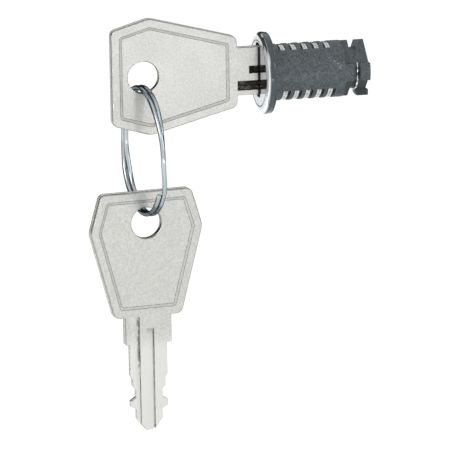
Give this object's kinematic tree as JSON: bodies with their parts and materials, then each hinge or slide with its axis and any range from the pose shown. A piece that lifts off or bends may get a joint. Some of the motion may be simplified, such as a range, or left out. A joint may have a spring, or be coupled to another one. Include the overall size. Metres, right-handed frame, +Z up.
{
  "type": "cabinet lock",
  "caption": "Removable wafer lock core with a capped head, with its flat key inserted and a spare key hanging from a split ring.",
  "frame": {"origin": "on the barrel's axis, at the back face of the head", "axes": "+X along the barrel's axis, from the key side to the tail; +Z up, so that the key in the lock stands on edge and the ring hangs towards -Z"},
  "size_m": [0.0659, 0.03, 0.0959],
  "materials": {
    "zinc": "matt grey die casting",
    "cap": "polished",
    "clip": "bright spring steel",
    "key": "satin nickel plating",
    "ring": "bright nickel plating",
    "wafer": "nickel plated brass",
    "spring": "bright spring wire"
  },
  "bodies": {
    "barrel": {"plug_body": "zinc", "face_cap": "cap", "retaining_clip": "clip", "wafer_spring_1_upper": "spring", "wafer_spring_1_lower": "spring", "wafer_spring_2_upper": "spring", "wafer_spring_2_lower": "spring", "wafer_spring_3_upper": "spring", "wafer_spring_3_lower": "spring", "wafer_spring_4_upper": "spring", "wafer_spring_4_lower": "spring", "wafer_spring_5_upper": "spring", "wafer_spring_5_lower": "spring"},
    "key": {"lock_key": "key"},
    "ring": {"split_ring": "ring"},
    "spare": {"spare_key": "key"},
    "wafer_1_upper": {"wafer_1_upper": "wafer"},
    "wafer_1_lower": {"wafer_1_lower": "wafer"},
    "wafer_2_upper": {"wafer_2_upper": "wafer"},
    "wafer_2_lower": {"wafer_2_lower": "wafer"},
    "wafer_3_upper": {"wafer_3_upper": "wafer"},
    "wafer_3_lower": {"wafer_3_lower": "wafer"},
    "wafer_4_upper": {"wafer_4_upper": "wafer"},
    "wafer_4_lower": {"wafer_4_lower": "wafer"},
    "wafer_5_upper": {"wafer_5_upper": "wafer"},
    "wafer_5_lower": {"wafer_5_lower": "wafer"}
  },
  "joints": [
    {"name": "key_slide", "type": "slide", "parent": "barrel", "child": "key", "axis": [-1, 0, 0], "range_m": [0, 0.024]},
    {"name": "ring_swing", "type": "hinge", "parent": "key", "child": "ring", "pos_m": [-0.02923, 0, -0.00181], "axis": [-0.0958, 0.9954, 0], "range_deg": [-45, 45]},
    {"name": "spare_key_swing", "type": "hinge", "parent": "ring", "child": "spare", "pos_m": [-0.02923, 0, -0.03073], "axis": [-0.0958, 0.9954, 0], "range_deg": [-45, 45]},
    {"name": "wafer_1_upper_lift", "type": "slide", "parent": "barrel", "child": "wafer_1_upper", "axis": [0, 0, 1], "range_m": [0, 0.0008], "deforming": ["wafer_spring_1_upper"]},
    {"name": "wafer_1_lower_lift", "type": "slide", "parent": "barrel", "child": "wafer_1_lower", "axis": [0, 0, -1], "range_m": [0, 0.0008], "deforming": ["wafer_spring_1_lower"]},
    {"name": "wafer_2_upper_lift", "type": "slide", "parent": "barrel", "child": "wafer_2_upper", "axis": [0, 0, 1], "range_m": [0, 0.0008], "deforming": ["wafer_spring_2_upper"]},
    {"name": "wafer_2_lower_lift", "type": "slide", "parent": "barrel", "child": "wafer_2_lower", "axis": [0, 0, -1], "range_m": [0, 0.0008], "deforming": ["wafer_spring_2_lower"]},
    {"name": "wafer_3_upper_lift", "type": "slide", "parent": "barrel", "child": "wafer_3_upper", "axis": [0, 0, 1], "range_m": [0, 0.0008], "deforming": ["wafer_spring_3_upper"]},
    {"name": "wafer_3_lower_lift", "type": "slide", "parent": "barrel", "child": "wafer_3_lower", "axis": [0, 0, -1], "range_m": [0, 0.0008], "deforming": ["wafer_spring_3_lower"]},
    {"name": "wafer_4_upper_lift", "type": "slide", "parent": "barrel", "child": "wafer_4_upper", "axis": [0, 0, 1], "range_m": [0, 0.0008], "deforming": ["wafer_spring_4_upper"]},
    {"name": "wafer_4_lower_lift", "type": "slide", "parent": "barrel", "child": "wafer_4_lower", "axis": [0, 0, -1], "range_m": [0, 0.0008], "deforming": ["wafer_spring_4_lower"]},
    {"name": "wafer_5_upper_lift", "type": "slide", "parent": "barrel", "child": "wafer_5_upper", "axis": [0, 0, 1], "range_m": [0, 0.0008], "deforming": ["wafer_spring_5_upper"]},
    {"name": "wafer_5_lower_lift", "type": "slide", "parent": "barrel", "child": "wafer_5_lower", "axis": [0, 0, -1], "range_m": [0, 0.0008], "deforming": ["wafer_spring_5_lower"]}
  ],
  "couplings": [
    {"joint": "wafer_1_upper_lift", "follows": "key_slide", "ratio": 0.033333},
    {"joint": "wafer_1_lower_lift", "follows": "key_slide", "ratio": 0.033333},
    {"joint": "wafer_2_upper_lift", "follows": "key_slide", "ratio": 0.033333},
    {"joint": "wafer_2_lower_lift", "follows": "key_slide", "ratio": 0.033333},
    {"joint": "wafer_3_upper_lift", "follows": "key_slide", "ratio": 0.033333},
    {"joint": "wafer_3_lower_lift", "follows": "key_slide", "ratio": 0.033333},
    {"joint": "wafer_4_upper_lift", "follows": "key_slide", "ratio": 0.033333},
    {"joint": "wafer_4_lower_lift", "follows": "key_slide", "ratio": 0.033333},
    {"joint": "wafer_5_upper_lift", "follows": "key_slide", "ratio": 0.033333},
    {"joint": "wafer_5_lower_lift", "follows": "key_slide", "ratio": 0.033333}
  ]
}
